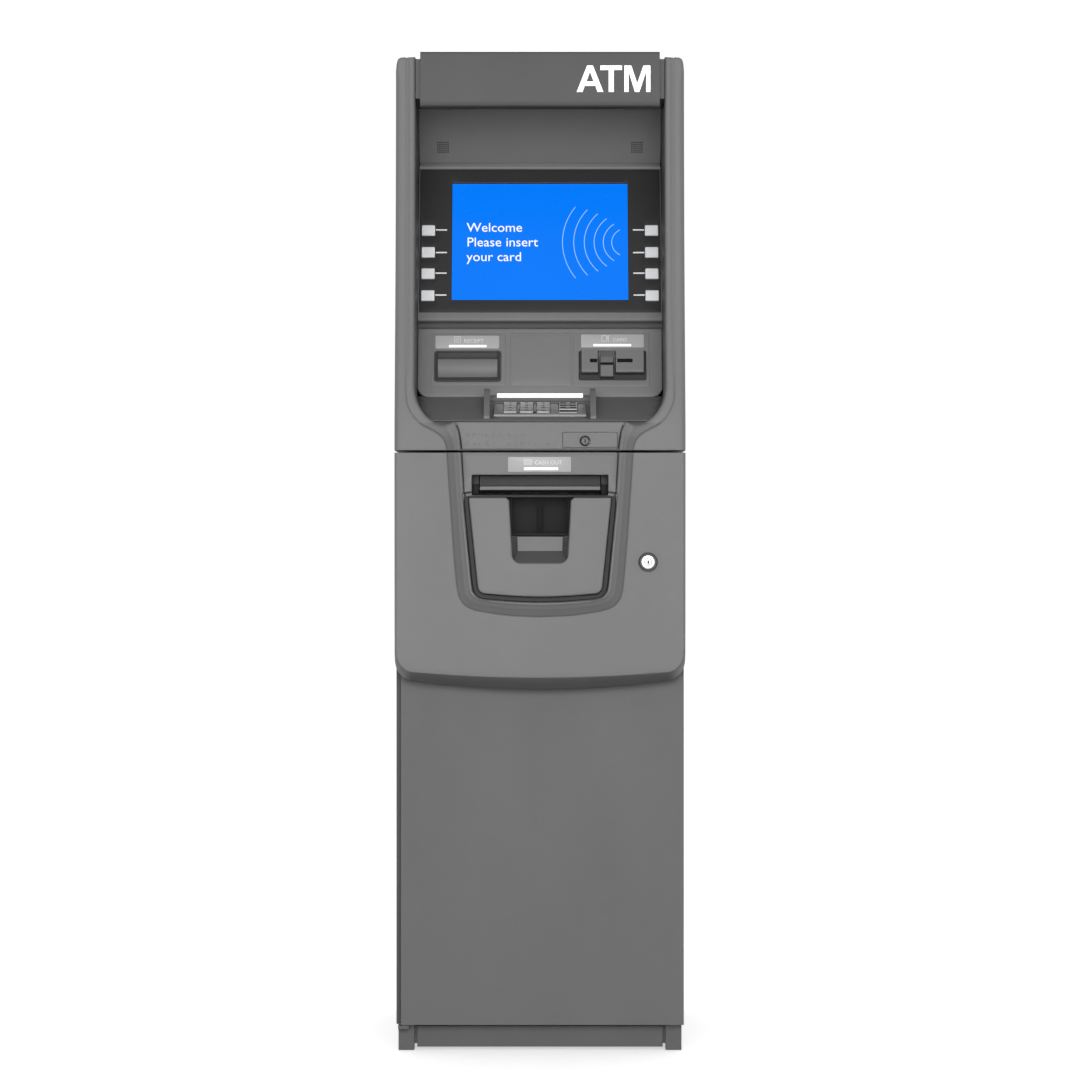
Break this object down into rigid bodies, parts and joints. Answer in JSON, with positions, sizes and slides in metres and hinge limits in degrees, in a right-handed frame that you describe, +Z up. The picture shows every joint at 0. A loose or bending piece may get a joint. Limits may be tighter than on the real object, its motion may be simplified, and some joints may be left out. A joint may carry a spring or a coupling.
{
  "type": "automated teller machine",
  "caption": "Free-standing cash machine: grey steel safe and upper cabinet with hinged fascias carrying screen, keypad, receipt slot, card reader and cash mouth.",
  "frame": {"origin": "on the floor at the centre of the machine's footprint", "axes": "+Z up, -Y towards the customer, +X to the customer's right"},
  "size_m": [0.4, 0.58, 1.3866],
  "materials": {
    "painted_steel": "grey powder coat, fine texture",
    "grey_plastic": "grey textured moulding",
    "dark_plastic": "dark grey satin",
    "black_plastic": "black satin",
    "printer_plastic": "dark grey satin",
    "white_plastic": "white, slightly glossy",
    "sign_plastic": "grey face with white letters",
    "screen_gloss": "lit blue display behind clear cover",
    "keypad_steel": "brushed",
    "pin_steel": "bright",
    "chromed": "polished",
    "module_metal": "plain sheet",
    "roller_rubber": "matt",
    "paper": "white paper"
  },
  "bodies": {
    "cabinet": {"safe_body": "painted_steel", "base_frame": "painted_steel", "kick_plate": "painted_steel", "safe_hinge_pin": "pin_steel", "cash_dispenser": "module_metal", "cash_cassette": "black_plastic", "upper_cabinet": "painted_steel", "rear_panel": "painted_steel", "control_computer": "module_metal", "upper_hinge_pin": "pin_steel"},
    "upper_door": {"upper_fascia": "grey_plastic", "lock_plate": "grey_plastic", "service_panel": "grey_plastic", "screen_frame": "grey_plastic", "display_bezel": "dark_plastic", "lcd_panel": "screen_gloss", "speaker_panel": "grey_plastic", "sign_housing": "grey_plastic", "sign_panel": "sign_plastic", "receipt_printer": "printer_plastic", "card_reader": "grey_plastic", "pin_pad": "keypad_steel", "privacy_shield": "grey_plastic", "light_bar": "white_plastic"},
    "safe_door": {"safe_door": "painted_steel"},
    "lower_door": {"lower_fascia": "grey_plastic", "cash_panel": "grey_plastic", "note_guide": "black_plastic"},
    "safe_handle": {"safe_handle": "chromed"},
    "bolt_bar": {"bolt_bar": "pin_steel"},
    "lock_dial": {"lock_dial": "black_plastic"},
    "cash_shutter": {"cash_shutter": "grey_plastic"},
    "lower_lock": {"lower_lock": "chromed"},
    "upper_lock": {"upper_lock": "chromed"},
    "paper_roll": {"paper_roll": "paper"},
    "fan": {"fan_rotor": "black_plastic"},
    "pick_roller": {"pick_roller": "roller_rubber"},
    "function_key_left_1": {"function_key_left_1": "white_plastic"},
    "function_key_left_2": {"function_key_left_2": "white_plastic"},
    "function_key_left_3": {"function_key_left_3": "white_plastic"},
    "function_key_left_4": {"function_key_left_4": "white_plastic"},
    "function_key_right_1": {"function_key_right_1": "white_plastic"},
    "function_key_right_2": {"function_key_right_2": "white_plastic"},
    "function_key_right_3": {"function_key_right_3": "white_plastic"},
    "function_key_right_4": {"function_key_right_4": "white_plastic"},
    "key_1": {"key_1": "keypad_steel"},
    "key_2": {"key_2": "keypad_steel"},
    "key_3": {"key_3": "keypad_steel"},
    "key_cancel": {"key_cancel": "keypad_steel"},
    "key_4": {"key_4": "keypad_steel"},
    "key_5": {"key_5": "keypad_steel"},
    "key_6": {"key_6": "keypad_steel"},
    "key_clear": {"key_clear": "keypad_steel"},
    "key_7": {"key_7": "keypad_steel"},
    "key_8": {"key_8": "keypad_steel"},
    "key_9": {"key_9": "keypad_steel"},
    "key_enter": {"key_enter": "keypad_steel"},
    "key_star": {"key_star": "keypad_steel"},
    "key_0": {"key_0": "keypad_steel"},
    "key_hash": {"key_hash": "keypad_steel"}
  },
  "joints": [
    {"name": "upper_door_hinge", "type": "hinge", "parent": "cabinet", "child": "upper_door", "pos_m": [-0.192, -0.068, 1.1], "axis": [0, 0, -1], "range_deg": [0, 95]},
    {"name": "safe_door_hinge", "type": "hinge", "parent": "cabinet", "child": "safe_door", "pos_m": [-0.189, -0.212, 0.43], "axis": [0, 0, -1], "range_deg": [0, 92]},
    {"name": "lower_door_hinge", "type": "hinge", "parent": "safe_door", "child": "lower_door", "pos_m": [-0.192, -0.232, 0.73], "axis": [0, 0, -1], "range_deg": [0, 80]},
    {"name": "safe_handle_turn", "type": "hinge", "parent": "safe_door", "child": "safe_handle", "pos_m": [0.1, -0.235, 0.6], "axis": [0, 1, 0], "range_deg": [0, 90]},
    {"name": "bolt_throw", "type": "slide", "parent": "safe_door", "child": "bolt_bar", "axis": [1, 0, 0], "range_m": [0, 0.016]},
    {"name": "lock_dial_turn", "type": "hinge", "parent": "safe_door", "child": "lock_dial", "pos_m": [0.1, -0.23, 0.7], "axis": [0, 1, 0], "range_deg": [0, 90]},
    {"name": "cash_shutter_lift", "type": "slide", "parent": "lower_door", "child": "cash_shutter", "axis": [0, 0, 1], "range_m": [0, 0.016]},
    {"name": "lower_lock_turn", "type": "hinge", "parent": "lower_door", "child": "lower_lock", "pos_m": [0.1483, -0.27, 0.6798], "axis": [0, -1, 0], "range_deg": [0, 90]},
    {"name": "upper_lock_turn", "type": "hinge", "parent": "upper_door", "child": "upper_lock", "pos_m": [0.0617, -0.27, 0.8458], "axis": [0, -1, 0], "range_deg": [0, 90]},
    {"name": "paper_roll_spin", "type": "hinge", "parent": "upper_door", "child": "paper_roll", "pos_m": [-0.101, -0.00115, 0.96284], "axis": [1, 0, 0], "continuous": true},
    {"name": "fan_spin", "type": "hinge", "parent": "cabinet", "child": "fan", "pos_m": [0.065, 0.266, 1.236], "axis": [0, 1, 0], "continuous": true},
    {"name": "pick_roller_spin", "type": "hinge", "parent": "cabinet", "child": "pick_roller", "pos_m": [0, -0.09, 0.66], "axis": [1, 0, 0], "continuous": true},
    {"name": "function_key_left_1_press", "type": "slide", "parent": "upper_door", "child": "function_key_left_1", "axis": [0, 0.9397, -0.342], "range_m": [0, 0.0015], "stiffness_N_per_m": 400, "springref_m": -0.001},
    {"name": "function_key_left_2_press", "type": "slide", "parent": "upper_door", "child": "function_key_left_2", "axis": [0, 0.9397, -0.342], "range_m": [0, 0.0015], "stiffness_N_per_m": 400, "springref_m": -0.001},
    {"name": "function_key_left_3_press", "type": "slide", "parent": "upper_door", "child": "function_key_left_3", "axis": [0, 0.9397, -0.342], "range_m": [0, 0.0015], "stiffness_N_per_m": 400, "springref_m": -0.001},
    {"name": "function_key_left_4_press", "type": "slide", "parent": "upper_door", "child": "function_key_left_4", "axis": [0, 0.9397, -0.342], "range_m": [0, 0.0015], "stiffness_N_per_m": 400, "springref_m": -0.001},
    {"name": "function_key_right_1_press", "type": "slide", "parent": "upper_door", "child": "function_key_right_1", "axis": [0, 0.9397, -0.342], "range_m": [0, 0.0015], "stiffness_N_per_m": 400, "springref_m": -0.001},
    {"name": "function_key_right_2_press", "type": "slide", "parent": "upper_door", "child": "function_key_right_2", "axis": [0, 0.9397, -0.342], "range_m": [0, 0.0015], "stiffness_N_per_m": 400, "springref_m": -0.001},
    {"name": "function_key_right_3_press", "type": "slide", "parent": "upper_door", "child": "function_key_right_3", "axis": [0, 0.9397, -0.342], "range_m": [0, 0.0015], "stiffness_N_per_m": 400, "springref_m": -0.001},
    {"name": "function_key_right_4_press", "type": "slide", "parent": "upper_door", "child": "function_key_right_4", "axis": [0, 0.9397, -0.342], "range_m": [0, 0.0015], "stiffness_N_per_m": 400, "springref_m": -0.001},
    {"name": "key_1_press", "type": "slide", "parent": "upper_door", "child": "key_1", "axis": [0, 0.213, -0.977], "range_m": [0, 0.0015], "stiffness_N_per_m": 400, "springref_m": -0.001},
    {"name": "key_2_press", "type": "slide", "parent": "upper_door", "child": "key_2", "axis": [0, 0.213, -0.977], "range_m": [0, 0.0015], "stiffness_N_per_m": 400, "springref_m": -0.001},
    {"name": "key_3_press", "type": "slide", "parent": "upper_door", "child": "key_3", "axis": [0, 0.213, -0.977], "range_m": [0, 0.0015], "stiffness_N_per_m": 400, "springref_m": -0.001},
    {"name": "key_cancel_press", "type": "slide", "parent": "upper_door", "child": "key_cancel", "axis": [0, 0.213, -0.977], "range_m": [0, 0.0015], "stiffness_N_per_m": 400, "springref_m": -0.001},
    {"name": "key_4_press", "type": "slide", "parent": "upper_door", "child": "key_4", "axis": [0, 0.213, -0.977], "range_m": [0, 0.0015], "stiffness_N_per_m": 400, "springref_m": -0.001},
    {"name": "key_5_press", "type": "slide", "parent": "upper_door", "child": "key_5", "axis": [0, 0.213, -0.977], "range_m": [0, 0.0015], "stiffness_N_per_m": 400, "springref_m": -0.001},
    {"name": "key_6_press", "type": "slide", "parent": "upper_door", "child": "key_6", "axis": [0, 0.213, -0.977], "range_m": [0, 0.0015], "stiffness_N_per_m": 400, "springref_m": -0.001},
    {"name": "key_clear_press", "type": "slide", "parent": "upper_door", "child": "key_clear", "axis": [0, 0.213, -0.977], "range_m": [0, 0.0015], "stiffness_N_per_m": 400, "springref_m": -0.001},
    {"name": "key_7_press", "type": "slide", "parent": "upper_door", "child": "key_7", "axis": [0, 0.213, -0.977], "range_m": [0, 0.0015], "stiffness_N_per_m": 400, "springref_m": -0.001},
    {"name": "key_8_press", "type": "slide", "parent": "upper_door", "child": "key_8", "axis": [0, 0.213, -0.977], "range_m": [0, 0.0015], "stiffness_N_per_m": 400, "springref_m": -0.001},
    {"name": "key_9_press", "type": "slide", "parent": "upper_door", "child": "key_9", "axis": [0, 0.213, -0.977], "range_m": [0, 0.0015], "stiffness_N_per_m": 400, "springref_m": -0.001},
    {"name": "key_enter_press", "type": "slide", "parent": "upper_door", "child": "key_enter", "axis": [0, 0.213, -0.977], "range_m": [0, 0.0015], "stiffness_N_per_m": 400, "springref_m": -0.001},
    {"name": "key_star_press", "type": "slide", "parent": "upper_door", "child": "key_star", "axis": [0, 0.213, -0.977], "range_m": [0, 0.0015], "stiffness_N_per_m": 400, "springref_m": -0.001},
    {"name": "key_0_press", "type": "slide", "parent": "upper_door", "child": "key_0", "axis": [0, 0.213, -0.977], "range_m": [0, 0.0015], "stiffness_N_per_m": 400, "springref_m": -0.001},
    {"name": "key_hash_press", "type": "slide", "parent": "upper_door", "child": "key_hash", "axis": [0, 0.213, -0.977], "range_m": [0, 0.0015], "stiffness_N_per_m": 400, "springref_m": -0.001}
  ],
  "couplings": [
    {"joint": "bolt_throw", "follows": "safe_handle_turn", "m_per_rad": 0.010185}
  ]
}
